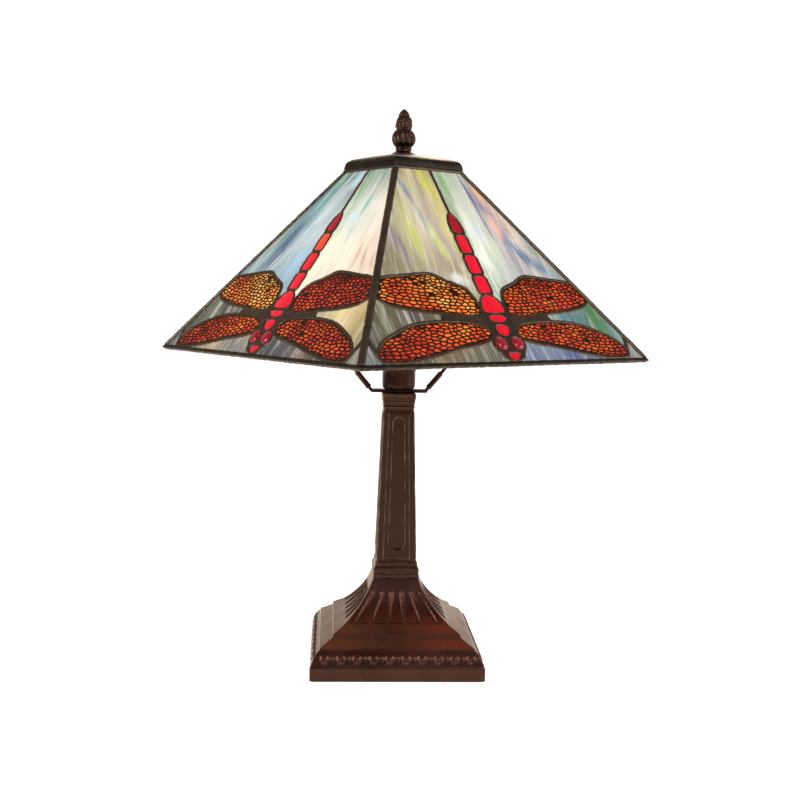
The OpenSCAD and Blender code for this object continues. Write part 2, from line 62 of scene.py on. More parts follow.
# The bulb's light, where the cap starts, and the middle of the bulb's globe; and how far below the cap
# the glass's painted glow starts to fade into painted shade, and to what share of its light
BULB_COLOUR = (1.0, 0.94, 0.82, 1.0)
CAP_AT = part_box("shade_cap")[0].z
BULB_AT = Vector((0, 0, (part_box("bulb_glass")[0].z + 2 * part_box("bulb_glass")[1].z) / 3))
DARK_TOP, DARK_SHARE = 90 * MM, 0.45


# ---- Colours and node trees ----

def srgb(text):
    """Linear RGBA of a colour written as six hexadecimal digits."""
    parts = [int(text[i:i + 2], 16) / 255 for i in (0, 2, 4)]
    return tuple(c / 12.92 if c <= 0.04045 else ((c + 0.055) / 1.055) ** 2.4 for c in parts) + (1.0,)


class Shader:
    """One material with a Principled shader, and short calls that add nodes to it."""

    def __init__(self, name, **sockets):
        self.material = bpy.data.materials.new(name)
        self.material.use_nodes = True
        self.tree = self.material.node_tree
        self.tree.nodes.clear()
        self.bsdf = self.tree.nodes.new("ShaderNodeBsdfPrincipled")
        out = self.tree.nodes.new("ShaderNodeOutputMaterial")
        self.tree.links.new(self.bsdf.outputs["BSDF"], out.inputs["Surface"])
        for socket, value in sockets.items():
            self.set(socket.replace("_", " "), value)

    def set(self, socket, value):
        """Gives one of the shader's own sockets a plain value, or a link from another node."""
        target = self.bsdf.inputs[socket]
        if isinstance(value, bpy.types.NodeSocket):
            self.tree.links.new(value, target)
        else:
            target.default_value = value

    def node(self, kind, inputs=(), **settings):
        made = self.tree.nodes.new(kind)
        for name, value in settings.items():
            setattr(made, name, value)
        for key, value in dict(inputs).items():
            if isinstance(value, bpy.types.NodeSocket):
                self.tree.links.new(value, made.inputs[key])
            else:
                made.inputs[key].default_value = value
        return made

    def place(self):
        """Where a point of the piece is, which moves with the piece."""
        return self.node("ShaderNodeTexCoord").outputs["Object"]

    def attribute(self, name, output="Vector"):
        return self.node("ShaderNodeAttribute", attribute_name=name).outputs[output]

    def stretched(self, vector, scale, shift=(0, 0, 0)):
        """vector times scale plus shift, part by part."""
        made = self.node("ShaderNodeVectorMath", {0: vector, 1: scale, 2: shift}, operation="MULTIPLY_ADD")
        return made.outputs[0]

    def noise(self, vector, scale, detail, roughness=0.55, distortion=0.0):
        """Noise from 0 to 1, which seldom leaves 0.25 to 0.75."""
        inputs = {"Vector": vector, "Scale": scale, "Detail": detail, "Roughness": roughness,
                  "Distortion": distortion}
        return self.node("ShaderNodeTexNoise", inputs).outputs["Fac"]

    def math(self, operation, a, b, c=0.0, clamp=False):
        made = self.node("ShaderNodeMath", {0: a, 1: b, 2: c}, operation=operation, use_clamp=clamp)
        return made.outputs[0]

    def level(self, value, low, high, to_low=0.0, to_high=1.0):
        """value taken from low..high to to_low..to_high, and held there outside it."""
        inputs = {"Value": value, "From Min": low, "From Max": high, "To Min": to_low, "To Max": to_high}
        return self.node("ShaderNodeMapRange", inputs).outputs["Result"]

    def ramp(self, value, colours, smooth=True):
        """A colour ramp through colours set at even steps."""
        made = self.node("ShaderNodeValToRGB", {"Fac": value})
        made.color_ramp.interpolation = "EASE" if smooth else "LINEAR"
        elements = made.color_ramp.elements
        while len(elements) < len(colours):
            elements.new(1.0)
        for i, (element, colour) in enumerate(zip(elements, colours)):
            element.position = i / (len(colours) - 1)
            element.color = srgb(colour)
        return made.outputs["Color"]

    def mix(self, share, a, b, blend="MIX"):
        """Colour a with that share of b mixed into it, or blended with it in another way."""
        made = self.node("ShaderNodeMix", {0: share, 6: a, 7: b}, data_type="RGBA", blend_type=blend)
        return made.outputs[2]

    def bump(self, height, depth, strength=1.0):
        """Fine relief, depth metres from a height of 0 to one of 1."""
        inputs = {"Height": height, "Distance": depth, "Strength": strength}
        self.set("Normal", self.node("ShaderNodeBump", inputs).outputs["Normal"])


# ---- Metal finishes ----

def patina(name, dark, mid, light, roughness, grain, wear_and_highlight_share, clouding=0.3):
    """Cast or soldered metal under a dark patina, with paler edges: rubbed metal and painted highlights."""
    s = Shader(name, Metallic=1.0, Specular_Tint=PATINA_EDGE)
    at = s.place()
    # Clouds some 40 mm wide, pits of 1 or 2 mm, and paler edges in patches of about 11 mm, partly rubbed
    # metal and partly a painted highlight along each edge
    clouds = s.noise(at, 24, 4)
    pits = s.noise(at, 700, 3)
    edge = s.level(s.node("ShaderNodeNewGeometry").outputs["Pointiness"], 0.505, 0.57)
    wear_and_edge_highlight = s.math("MULTIPLY", s.level(s.noise(at, 90, 3), 0.35, 0.7), edge)
    tone = s.math("ADD", s.level(clouds, 0.3, 0.7, 0.5 - clouding, 0.5 + clouding),
                  s.level(pits, 0.3, 0.7, -0.08, 0.08))
    body = s.ramp(tone, [dark, mid], smooth=False)
    s.set("Base Color", s.mix(s.math("MULTIPLY", wear_and_edge_highlight, wear_and_highlight_share), body, srgb(light)))
    s.set("Roughness", s.level(clouds, 0.3, 0.7, roughness - 0.05, roughness + 0.07))
    s.bump(s.math("ADD", pits, s.noise(at, 260, 3)), grain)
    return s.material


def turned_metal(name, colour, tarnish, roughness):
    """Sheet or turned metal with faint tool marks round the lamp's axis and darker tarnish."""
    s = Shader(name, Metallic=1.0)
    at = s.place()
    marks = s.noise(s.stretched(at, (30, 30, 2600)), 1.0, 2)
    stain = s.level(s.noise(at, 55, 5), 0.35, 0.7)
    s.set("Base Color", s.mix(stain, srgb(colour), srgb(tarnish)))
    s.set("Roughness", s.level(stain, 0, 1, roughness, roughness + 0.18))
    s.bump(marks, 0.05 * MM)
    return s.material


def speckled(name, dark, light, size, roughness, relief, **sockets):
    """A plain moulded, sintered or fibrous material: two close colours in grains of one size."""
    s = Shader(name, **sockets)
    at = s.place()
    grains = s.noise(at, 1 / size, 4, 0.7)
    s.set("Base Color", s.ramp(s.level(grains, 0.3, 0.7), [dark, light]))
    s.set("Roughness", s.level(grains, 0.3, 0.7, roughness, min(1, roughness + 0.1)))
    s.bump(grains, relief)
    return s.material


# ---- Glass finishes ----

def bulb_glow(s, reach):
    """How strongly the bulb lights a point of the glass from behind: 1 near it, less far off and high up."""
    far = s.node("ShaderNodeVectorMath", {0: s.place(), 1: BULB_AT}, operation="DISTANCE").outputs["Value"]
    near = s.math("DIVIDE", 1.0, s.math("ADD", 1.0, s.math("POWER", s.math("DIVIDE", far, reach), 3.0)))
    height = s.node("ShaderNodeSeparateXYZ", {0: s.place()}).outputs[2]
    return s.math("MULTIPLY", near, s.level(height, CAP_AT - DARK_TOP, CAP_AT, 1.0, DARK_SHARE))


def backlit(s, colour, glow, strength, dim):
    """Sets the glass's own colour, darkened by dim, and the bulb's light through it in the same colour."""
    s.set("Base Color", s.mix(1.0, colour, (dim, dim, dim, 1), "MULTIPLY"))
    lit = s.mix(1.0, colour, BULB_COLOUR, "MULTIPLY")
    s.set("Emission Color", s.mix(glow, (0, 0, 0, 1), lit))
    s.set("Emission Strength", strength)


def accented(s, colour, apart, ragged, accents):
    """Lays soft long patches of other colours over a sheet's colour."""
    for u, v, half_width, half_length, lean, hue, strength in accents:
        along = s.math("SUBTRACT", apart[1], v * MM)
        across = s.math("SUBTRACT", apart[0], s.math("MULTIPLY_ADD", along, lean, c=u * MM))
        inputs = {0: s.math("DIVIDE", across, half_width * MM), 1: s.math("DIVIDE", along, half_length * MM)}
        off = s.node("ShaderNodeVectorMath", {0: s.node("ShaderNodeCombineXYZ", inputs).outputs[0]},
                     operation="LENGTH").outputs["Value"]
        frayed = s.math("ADD", off, s.level(ragged, 0.25, 0.75, -0.55, 0.55))
        colour = s.mix(s.level(frayed, 1.35, 0.35, 0, strength), colour, srgb(hue))
    return colour


def streaky_glass(name, colours, width, slant, seed, ends, accents):
    """Opalescent sheet glass: colours in ragged streaks up the slope, from its left edge to its right.
    width is (left, right) in u, slant leans the streaks, ends are the colours it turns to low and high up
    or None, and accents are patches of other colours."""
    s = Shader(name, Roughness=0.2, IOR=1.5, Specular_IOR_Level=0.3)
    at = s.stretched(s.attribute("face"), (1, 1, 0), (0, 0, seed))
    apart = s.node("ShaderNodeSeparateXYZ", {0: at}).outputs
    across = s.math("ADD", apart[0], s.math("MULTIPLY", apart[1], slant))
    leaned = s.node("ShaderNodeCombineXYZ", {0: across, 1: apart[1], 2: apart[2]}).outputs[0]
    # How far across the sheet a point is picks its colour, moved about by ragged streaks and a broad drift
    ragged = s.noise(s.stretched(leaned, (75, 11, 1)), 1.0, 4, 0.65)
    drift = s.noise(s.stretched(leaned, (14, 7, 1), (3, 5, 0)), 1.0, 3, 0.5)
    place = s.level(across, width[0], width[1])
    place = s.math("ADD", place, s.level(ragged, 0.2, 0.8, -0.15, 0.15))
    place = s.math("ADD", place, s.level(drift, 0.2, 0.8, -0.22, 0.22), clamp=True)
    colour = s.ramp(place, colours)
    for hue, (near, far) in zip(ends, END_SPANS) if ends else ():
        share = s.math("ADD", s.level(apart[1], far, near, -0.25, 0.6), s.level(drift, 0.25, 0.75, -0.3, 0.3),
                       clamp=True)
        colour = s.mix(share, colour, srgb(hue))
    frays = s.noise(s.stretched(leaned, (130, 26, 1), (5, 1, 0)), 1.0, 4, 0.7)
    colour = accented(s, colour, apart, frays, accents)
    # White wisps, then grey shadows, both long and thin
    wisps = s.noise(s.stretched(leaned, (190, 15, 1), (1, 9, 0)), 1.0, 5, 0.65, 0.5)
    colour = s.mix(s.level(wisps, 0.5, 0.7, 0, 0.5), colour, srgb("f2efe4"))
    shade = s.noise(s.stretched(leaned, (115, 12, 1), (7, 2, 0)), 1.0, 5, 0.66, 0.5)
    colour = s.mix(s.level(shade, 0.5, 0.72, 0, 0.55), colour, s.mix(0.6, colour, srgb("646a74"), "MULTIPLY"))
    backlit(s, colour, bulb_glow(s, 0.15), 0.66, 0.62)
    s.set("Roughness", s.level(wisps, 0.3, 0.7, 0.16, 0.3))
    s.bump(s.math("ADD", s.noise(at, 55, 2), s.math("MULTIPLY", ragged, 0.5)), 0.35 * MM, 0.5)
    return s.material


def wing_glass(name):
    """Mottled amber glass that runs from deep red to yellow. The attribute tone sets each wing's own mean."""
    s = Shader(name, Roughness=0.2, IOR=1.5, Specular_IOR_Level=0.3)
    at = s.attribute("face")
    mottle = s.noise(at, 95, 4, 0.6, 0.6)
    clouds = s.noise(s.stretched(at, (1, 1, 1), (2, 3, 0)), 26, 3)
    value = s.math("ADD", s.level(mottle, 0.25, 0.75, -0.3, 0.3), s.level(clouds, 0.25, 0.75, -0.3, 0.3))
    value = s.math("ADD", value, s.attribute("tone", "Fac"), clamp=True)
    colour = s.ramp(value, ["8a1a12", "c23018", "e2561c", "ee8a30", "f6be6a"])
    backlit(s, colour, bulb_glow(s, 0.3), 0.9, 0.35)
    s.bump(mottle, 0.3 * MM, 0.5)
    return s.material


def red_glass(name):
    """Clear red glass with faint streaks and one or two bars that lean to orange."""
    s = Shader(name, Roughness=0.12, IOR=1.5, Specular_IOR_Level=0.12)
    at = s.attribute("face")
    streaks = s.noise(s.stretched(at, (150, 45, 60)), 1.0, 4, 0.6)
    value = s.math("ADD", s.level(streaks, 0.25, 0.75, 0, 0.75), s.attribute("tone", "Fac"), clamp=True)
    colour = s.ramp(value, ["a80020", "dc0828", "ee1230", "f24a28"])
    backlit(s, colour, bulb_glow(s, 0.3), 1.0, 0.2)
    s.bump(s.noise(at, 140, 2), 0.3 * MM, 0.4)
    return s.material


def jewel_glass(name):
    """Deep red pressed glass of the round eyes, in swirls of darker and paler red."""
    s = Shader(name, Roughness=0.1, IOR=1.52, Specular_IOR_Level=0.25)
    at = s.attribute("face")
    swirl = s.noise(at, 210, 3, 0.6, 1.0)
    colour = s.ramp(s.level(swirl, 0.25, 0.75), ["6c0012", "a00820", "cc1830"])
    backlit(s, colour, bulb_glow(s, 0.2), 0.7, 0.3)
    s.bump(swirl, 0.12 * MM, 0.4)
    return s.material


def frosted_bulb(name):
    s = Shader(name, Roughness=0.5, IOR=1.5)
    frost = s.noise(s.place(), 900, 2)
    white = s.ramp(s.level(frost, 0.3, 0.7), ["f4ecd8", "fffaf0"])
    s.set("Base Color", white)
    s.set("Emission Color", white)
    s.set("Emission Strength", 5.0)
    s.bump(frost, 0.03 * MM)
    return s.material


# ---- Meshes ----

def points_of(mesh):
    flat = np.empty(len(mesh.vertices) * 3)
    mesh.vertices.foreach_get("co", flat)
    return flat.reshape(-1, 3)


def set_points(mesh, points):
    mesh.vertices.foreach_set("co", np.asarray(points, np.float32).ravel())
    mesh.update()


def joined_copy(name, nodes):
    """A new object holding copies of the CAD nodes' meshes, with coinciding corners merged."""
    made = bmesh.new()
    for node in nodes:
        made.from_mesh(NODES[node].data)
    bmesh.ops.remove_doubles(made, verts=made.verts, dist=SAME)
    mesh = bpy.data.meshes.new(name)
    made.to_mesh(mesh)
    made.free()
    return new_object(name, mesh)


def new_object(name, mesh):
    made = bpy.data.objects.new(name, mesh)
    bpy.context.scene.collection.objects.link(made)
    return made


def applied(obj):
    """Turns the object's modifiers, or its curve, into its mesh."""
    graph = bpy.context.evaluated_depsgraph_get()
    mesh = bpy.data.meshes.new_from_object(obj.evaluated_get(graph), depsgraph=graph)
    name = obj.name
    bpy.data.objects.remove(obj)
    return new_object(name, mesh)


def wobble(points, size, seed):
    """A smooth random height at each point, about -1 to 1, with bumps of about that size."""
    waves = 14
    random = np.random.default_rng(seed)
    direction = random.normal(size=(waves, 3))
    direction /= np.linalg.norm(direction, axis=1)[:, None]
    pace = 2 * math.pi / size * random.uniform(0.5, 1.5, waves)
    phase = random.uniform(0, 2 * math.pi, waves)
    return np.sin(points @ (direction * pace[:, None]).T + phase).sum(1) / waves ** 0.5


def softened(name, nodes, voxel, rounds, grow, dents, dent_size, seed, most=190000):
    """CAD nodes remade as one evenly meshed casting or bead of solder: rounded by that many passes of
    smoothing, grown by a fixed height and dented. most is how many triangles it may have."""
    obj = joined_copy(name, nodes)
    remesh = obj.modifiers.new("voxels", "REMESH")
    remesh.mode = "VOXEL"
    remesh.voxel_size = voxel
    smooth = obj.modifiers.new("rounding", "SMOOTH")
    smooth.factor = 0.5
    smooth.iterations = rounds
    obj = applied(obj)
    triangles = 2 * len(obj.data.polygons)
    if triangles > most:
        thin = obj.modifiers.new("thinning", "DECIMATE")
        thin.ratio = most / triangles
        even = obj.modifiers.new("evening", "SMOOTH")
        even.factor = 0.5
        even.iterations = 3
        obj = applied(obj)
    mesh = obj.data
    points = points_of(mesh)
    normals = np.empty(len(points) * 3, np.float32)
    mesh.vertex_normals.foreach_get("vector", normals)
    height = grow + dents * wobble(points, dent_size, seed)
    set_points(mesh, points + normals.reshape(-1, 3) * np.reshape(height, (-1, 1)))
    mesh.shade_smooth()
    return obj


def finish(obj, material, body, nodes):
    """Gives a new piece its material or materials, its body and the CAD nodes it stands for."""
    obj.data.materials.clear()
    for each in material if isinstance(material, list) else [material]:
        obj.data.materials.append(each)
    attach(obj, body)
    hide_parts(*nodes)


def paint(material, *nodes):
    """Puts a material on CAD nodes that keep their shape."""
    for node in nodes:
        NODES[node].data.materials.clear()
        NODES[node].data.materials.append(material)


def revolved(name, profile, sides, carve=None):
    """A turned solid about Z from (radius, height) points that start and end on the axis.
    carve(angle, radius, height) gives what is added to the radius."""
    mesh = bmesh.new()
    rings = []
    for radius, height in profile:
        ring = []
        for k in range(sides if radius else 1):
            angle = 2 * math.pi * k / sides
            r = radius + (carve(angle, radius, height) if carve and radius else 0)
            ring.append(mesh.verts.new((r * math.cos(angle), r * math.sin(angle), height)))
        rings.append(ring)
    for low, high in zip(rings, rings[1:]):
        for k in range(sides):
            a, b = low[k % len(low)], low[(k + 1) % len(low)]
            c, d = high[(k + 1) % len(high)], high[k % len(high)]
            corners = list(dict.fromkeys([a, b, c, d]))
            if len(corners) > 2:
                mesh.faces.new(corners)
    bmesh.ops.recalc_face_normals(mesh, faces=mesh.faces)
    data = bpy.data.meshes.new(name)
    mesh.to_mesh(data)
    mesh.free()
    data.shade_smooth()
    return new_object(name, data)


# ---- The glass faces ----

class Face:
    """The frame of one glass face, read from its CAD nodes."""

    def __init__(self, name):
        self.name = name
        wings = NODES["wings_" + name].data
        lead = points_of(NODES["leading_" + name].data)
        outward = Vector((*lead.mean(0)[:2], 0)).normalized() + Vector((0, 0, 1))
        facing = [p.normal * p.area for p in wings.polygons if p.normal.dot(outward.normalized()) > 0.9]
        self.w = sum(facing, Vector()).normalized()
        self.u = Vector((0, 0, 1)).cross(self.w).normalized()
        self.v = self.w.cross(self.u)
        self.axes = np.array([self.u, self.v, self.w])
        level = (points_of(wings) @ self.axes[2]).max()
        foot = (lead @ self.axes[1]).min() - RIM_V
        self.origin = level * self.axes[2] + foot * self.axes[1]

    def local(self, points):
        return (np.asarray(points) - self.origin) @ self.axes.T

    def world(self, points):
        return np.asarray(points) @ self.axes + self.origin

    def mark(self, obj, tone=None):
        """Stores each point's u, v and w, and if given its tone, for the materials to read."""
        local = self.local(points_of(obj.data))
        obj.data.attributes.new("face", "FLOAT_VECTOR", "POINT").data.foreach_set(
            "vector", local.astype(np.float32).ravel())
        if tone is not None:
            values = np.array([tone(*p) for p in local], np.float32)
            obj.data.attributes.new("tone", "FLOAT", "POINT").data.foreach_set("value", values)


def outlines(face, node):
    """The closed outlines, anticlockwise in u and v, of a flat CAD node's front."""
    mesh = NODES[node].data
    local = face.local(points_of(mesh))
    keys = [tuple(np.round(p[:2] / MM, 3)) for p in local]
    sides = {}
    for polygon in mesh.polygons:
        if polygon.normal.dot(face.w) > 0.95:
            ring = [keys[i] for i in polygon.vertices]
            for a, b in zip(ring, ring[1:] + ring[:1]):
                if a != b:
                    sides[a, b] = sides.get((a, b), 0) + 1
    following = {a: b for a, b in sides if (b, a) not in sides}
    loops = []
    while following:
        start, at = next(iter(following.items()))
        loop = [start]
        while at != start:
            loop.append(at)
            at = following.pop(at)
        following.pop(start, None)
        loops.append(np.array(loop) * MM)
    return loops


def islands(mesh):
    """The mesh's polygons in groups that hang together, as lists of polygon numbers."""
    groups = list(range(len(mesh.vertices)))

    def top(i):
        while groups[i] != i:
            groups[i] = groups[groups[i]]
            i = groups[i]
        return i

    for edge in mesh.edges:
        a, b = map(top, edge.vertices)
        groups[a] = b
    found = {}
    for polygon in mesh.polygons:
        found.setdefault(top(polygon.vertices[0]), []).append(polygon.index)
    return list(found.values())


# Colours of the sheet glass, left to right across each piece, seen from outside
SHEETS = {
    "front_right": {
        "top_left": ["746a50", "918a6e", "9c9288", "b6b284", "c4ba9f", "b2a496", "c6bc7c", "c0b494"],
        "top_right": ["96aa8c", "c8ccbe", "bebab6", "948c9c", "ceb2a2", "a6a6a6", "7c90a4", "7c7e76"],
        "side_left": ["52483c", "645f42", "544b45", "6a5e4a"],
        "side_right": ["8a9a96", "5d7f86", "4a7a4c", "8aa0a0"],
        "low_left": ["4c443a", "7c6b4c", "6e6454", "686a5c"],
        "low_right": ["6d7899", "7c879c", "56628c", "8b8f94"],
        "corner_left": ["7d7d7e", "6b6c70"], "corner_right": ["8b8c8c", "9c9c9c"]},
    "front_left": {
        "top_left": ["748e84", "6c868c", "889fa9", "a4b6bc", "b2c0c2", "a4babe"],
        "top_right": ["93a892", "b8c4b2", "ced4c6", "e4ded0", "e6d2be", "e0c8b2", "d6baa0"],
        "side_left": ["424434", "5c5a42", "40443c", "65604a"],
        "side_right": ["a89a6c", "e6d096", "c8b078", "9a8c66"],
        "low_left": ["857c6a", "b09a7a", "7c7670", "8c816e"],
        "low_right": ["2e2c30", "4a474d", "6e5a4c", "3c4048"],
        "corner_left": ["485058", "525a60"], "corner_right": ["80806a", "707060"]},
}
# How far the streaks lean on a sheet, across per length up the slope
LEANS = {("front_left", "top_left"): -0.38, ("front_left", "top_right"): 0.12,
         ("front_right", "top_left"): -0.15, ("front_right", "top_right"): 0.1}
# What the tall sheets turn to at their foot and at their top, and from where to where up the slope
END_SPANS = ((112 * MM, 160 * MM), (222 * MM, 165 * MM))
ENDS = {("front_right", "top_left"): ("8c8068", "b4a878"), ("front_right", "top_right"): ("a6aeb0", "aab6a2"),
        ("front_left", "top_left"): ("7c96a6", "43605a"), ("front_left", "top_right"): ("eedac6", "4c6654")}
# Patches that stand out on the tall sheets, in mm: u, v, half width, half length, lean, colour, strength
ACCENTS = {
    ("front_left", "top_left"): [
        (-30, 170, 9, 55, 0.25, "d2dde0", 0.5), (-57, 166, 4.5, 72, 0.36, "4c6a88", 0.8),
        (-67, 128, 8, 30, 0.32, "425a78", 0.85), (-47, 192, 8, 22, 0.35, "64a898", 0.75),
        (-38, 218, 5, 15, 0.3, "7fb088", 0.7), (-96, 112, 10, 18, 0.45, "7894a0", 0.6),
        (-36, 153, 3, 8, 0.2, "7f9fc4", 0.7), (-9, 220, 5, 14, 0, "98c8e8", 0.8),
        (-24, 110, 9, 20, 0.1, "9cbcdc", 0.7)],
    ("front_left", "top_right"): [
        (18, 125, 9, 38, 0, "ecebcf", 0.7), (11, 206, 5, 26, 0, "7ca67e", 0.75),
        (25, 222, 9, 14, -0.1, "8db09c", 0.7), (35, 178, 3, 12, 0, "76b0ac", 0.8),
        (28, 163, 8, 10, 0, "bcd6e4", 0.7), (62, 140, 2, 30, -0.1, "cfae96", 0.7),
        (72, 121, 3, 16, -0.3, "c29a82", 0.7), (86, 113, 3, 12, -0.4, "c29a82", 0.7),
        (101, 110, 4, 10, -0.4, "bb9480", 0.6)],
    ("front_right", "top_left"): [
        (-57, 145, 5, 34, 0, "bfcc62", 0.75), (-12, 208, 6, 24, -0.1, "d0c958", 0.85),
        (-31, 140, 5, 26, -0.1, "c4ce80", 0.7), (-76, 165, 4, 18, 0, "bccb86", 0.7),
        (-43, 198, 3.5, 24, -0.2, "76869e", 0.85), (-37, 163, 3, 14, 0, "8d9aa6", 0.7),
        (-81, 134, 4, 24, -0.15, "93829a", 0.75), (-21, 133, 4, 22, -0.2, "a594a0", 0.7),
        (-98, 112, 15, 22, 0.4, "857b62", 0.8), (-26, 94, 9, 7, -0.3, "e2e6e4", 0.8),
        (-40, 226, 6, 10, 0, "847b68", 0.7)],
    ("front_right", "top_right"): [
        (18, 130, 8, 42, 0, "efefe6", 0.75), (11, 212, 5, 20, 0, "74aa5e", 0.8),
        (39, 188, 2.6, 46, -0.1, "605c8c", 0.9), (49, 205, 5, 18, -0.2, "e8ae84", 0.85),
        (52, 161, 6, 16, -0.1, "f2baa6", 0.85), (79, 166, 4, 10, -0.3, "6a88b2", 0.8),
        (73, 124, 9, 16, -0.5, "3f628e", 0.9), (90, 110, 8, 8, -0.6, "5f7ea4", 0.7),
        (62, 139, 6, 8, -0.3, "7094ba", 0.7), (89, 131, 3, 6, -0.5, "86a276", 0.7),
        (26, 152, 5, 14, 0, "b8cee6", 0.7), (103, 116, 8, 16, -0.6, "a39e8a", 0.7)],
}
# The face in front that each back face mirrors
MIRRORED = {"back_left": "front_right", "back_right": "front_left"}
# Where up the slope the tall sheets and the low ones lie, and how far out the corner ones do
SHEETS_TALL, SHEETS_LOW, SHEETS_CORNER = 90 * MM, 30 * MM, 120 * MM
# Where up the slope the upper wings part from the lower ones, and how much of it each pair takes
WINGS_PART, WING_ROW = 47.5 * MM, 52 * MM
# How yellow each wing's glass is: upper left, upper right, lower left, lower right
WING_TONES = {"front_right": (0.66, 0.42, 0.5, 0.42), "front_left": (0.78, 0.26, 0.42, 0.36),
              "back_left": (0.5, 0.62, 0.4, 0.55), "back_right": (0.4, 0.7, 0.36, 0.5)}


def sheet_look(face_name, kind):
    """A sheet's colours, lean, end colours and accents. A back face takes a front one's, left for right."""
    flip = face_name in MIRRORED
    if flip:
        face_name = MIRRORED[face_name]
        row, side = kind.split("_")
        kind = row + {"left": "_right", "right": "_left"}[side]
    key = face_name, kind
    colours, lean, accents = SHEETS[face_name][kind], LEANS.get(key, 0.0), ACCENTS.get(key, [])
    if flip:
        colours, lean = colours[::-1], -lean
        accents = [(-u, v, wide, long, -slope, hue, share) for u, v, wide, long, slope, hue, share in accents]
    return colours, lean, ENDS.get(key), accents


def sheet_name(u, v):
    """The kind of sheet whose corners' mean is at u, v."""
    side = "left" if u < 0 else "right"
    if v > SHEETS_TALL:
        return "top_" + side
    if v > SHEETS_LOW:
        return "side_" + side
    return ("corner_" if abs(u) > SHEETS_CORNER else "low_") + side


def background(face):
    """The eight sheets of streaky glass round the insect, with a material for each."""
    node = "glass_" + face.name
    obj = joined_copy("sheet_" + node, [node])
    mesh = obj.data
    local = face.local(points_of(mesh))
    materials = []
    sheets = islands(mesh)
    for number, group in enumerate(sheets):
        corners = local[sorted({i for p in group for i in mesh.polygons[p].vertices})]
        kind = sheet_name(*corners.mean(0)[:2])
        colours, slant, ends, accents = sheet_look(face.name, kind)
        leaned = corners[:, 0] + slant * corners[:, 1]
        name = f"{face.name}_{kind}"
        seed = 7.3 * (FACES.index(face.name) * 8 + number)
        width = leaned.min(), leaned.max()
        materials.append(streaky_glass(name, colours, width, slant, seed, ends, accents))
    face.mark(obj)
    finish(obj, materials, "shade", [node])
    for number, group in enumerate(sheets):
        for p in group:
            mesh.polygons[p].material_index = number


def wing_panes(face, material):
    """The four wings' plates of amber glass."""
    node = "wings_" + face.name
    obj = joined_copy("amber_" + node, [node])
    tones = WING_TONES[face.name]

    def tone(u, v, w):
        """Each wing's own mean, a little redder towards its tip and its lower edge."""
        row = 0 if v > WINGS_PART + 0.03 * abs(u) else 2
        redder = 0.0018 * (abs(u) / MM - 60) + 0.0016 * (30 - v % WING_ROW / MM)
        return tones[row + (u > 0)] - redder

    face.mark(obj, tone)
    finish(obj, material, "shade", [node])


# Which bar of the tail is orange on some faces, and where its dark tip starts, up the slope
ORANGE_BARS = {"front_left": (124 * MM, 147 * MM), "back_right": (76 * MM, 99 * MM)}
TAIL_TIP = 148 * MM


def body_panes(face, material):
    """The insect's tail, thorax and chest: cut glass with its edges rounded over."""
    node = "body_" + face.name
    obj = joined_copy("red_" + node, [node])
    bevel = obj.modifiers.new("rounding", "BEVEL")
    bevel.width = 0.9 * MM
    bevel.segments = 3
    bevel.limit_method = "ANGLE"
    bevel.angle_limit = math.radians(50)
    obj = applied(obj)
    obj.data.shade_smooth()
    low, high = ORANGE_BARS.get(face.name, (0, 0))

    def tone(u, v, w):
        """Orange on one bar, dark red on the tip."""
        if low < v < high:
            return 0.6
        return -0.4 if v > TAIL_TIP else 0.05

    face.mark(obj, tone)
    finish(obj, material, "shade", [node])


def eyes(face, material):
    """Two domed jewels, turned in the face's own frame."""
    node = "eyes_" + face.name
    local = face.local(points_of(NODES[node].data))
    right = local[local[:, 0] > 0]
    low, high = right.min(0), right.max(0)
    radius, centre = (high[0] - low[0]) / 2, (low + high) / 2
    edge = 0.4 * MM
    dome = [(radius * math.cos(t), (high[2] - edge) * math.sin(t) + edge)
            for t in np.linspace(0, math.pi / 2, 14)[:-1]]
    profile = [(0, low[2]), (radius, low[2]), (radius, 0)] + dome + [(0, high[2])]
    made = revolved("jewel_" + node, profile, 48)
    points = points_of(made.data)
    both = bmesh.new()
    for sign in (-1, 1):
        set_points(made.data, face.world(points + np.array([sign * centre[0], centre[1], 0])))
        both.from_mesh(made.data)
    both.to_mesh(made.data)
    both.free()
    made.data.shade_smooth()
    face.mark(made)
    finish(made, material, "shade", [node])


# ---- The wings' metal overlay ----

# A brick-shaped cell's length and height, the wire between cells, and the smallest cell's area
CELL_LONG, CELL_HIGH = 7.2 * MM, 3.7 * MM
WIRE = 1.25 * MM
CELL_LEAST = 2.6 * MM * MM
# The sheet's thickness, how far its edges are rounded, and the band left whole along a wing's outline
OVERLAY_T = 0.7 * MM
OVERLAY_ROUND = 0.16 * MM
OVERLAY_BAND = 0.9 * MM
# How much of a cell's side one pass of corner cutting takes at each end
CORNER_CUT = 0.13


def moved_in(loop, by):
    """An anticlockwise outline moved inwards."""
    along = np.roll(loop, -1, 0) - np.roll(loop, 1, 0)
    along /= np.linalg.norm(along, axis=1)[:, None]
    return loop + by * np.stack([-along[:, 1], along[:, 0]], 1)


def clipped(polygon, normal, limit):
    """The part of a polygon where normal . point <= limit."""
    kept = []
    depth = [normal[0] * p[0] + normal[1] * p[1] - limit for p in polygon]
    for i, (p, d) in enumerate(zip(polygon, depth)):
        q, e = polygon[i - 1], depth[i - 1]
        if (d > 0) != (e > 0):
            t = e / (e - d)
            kept.append((q[0] + t * (p[0] - q[0]), q[1] + t * (p[1] - q[1])))
        if d <= 0:
            kept.append(p)
    return kept


def area(polygon):
    return sum(p[0] * q[1] - q[0] * p[1] for p, q in zip(polygon, polygon[1:] + polygon[:1])) / 2


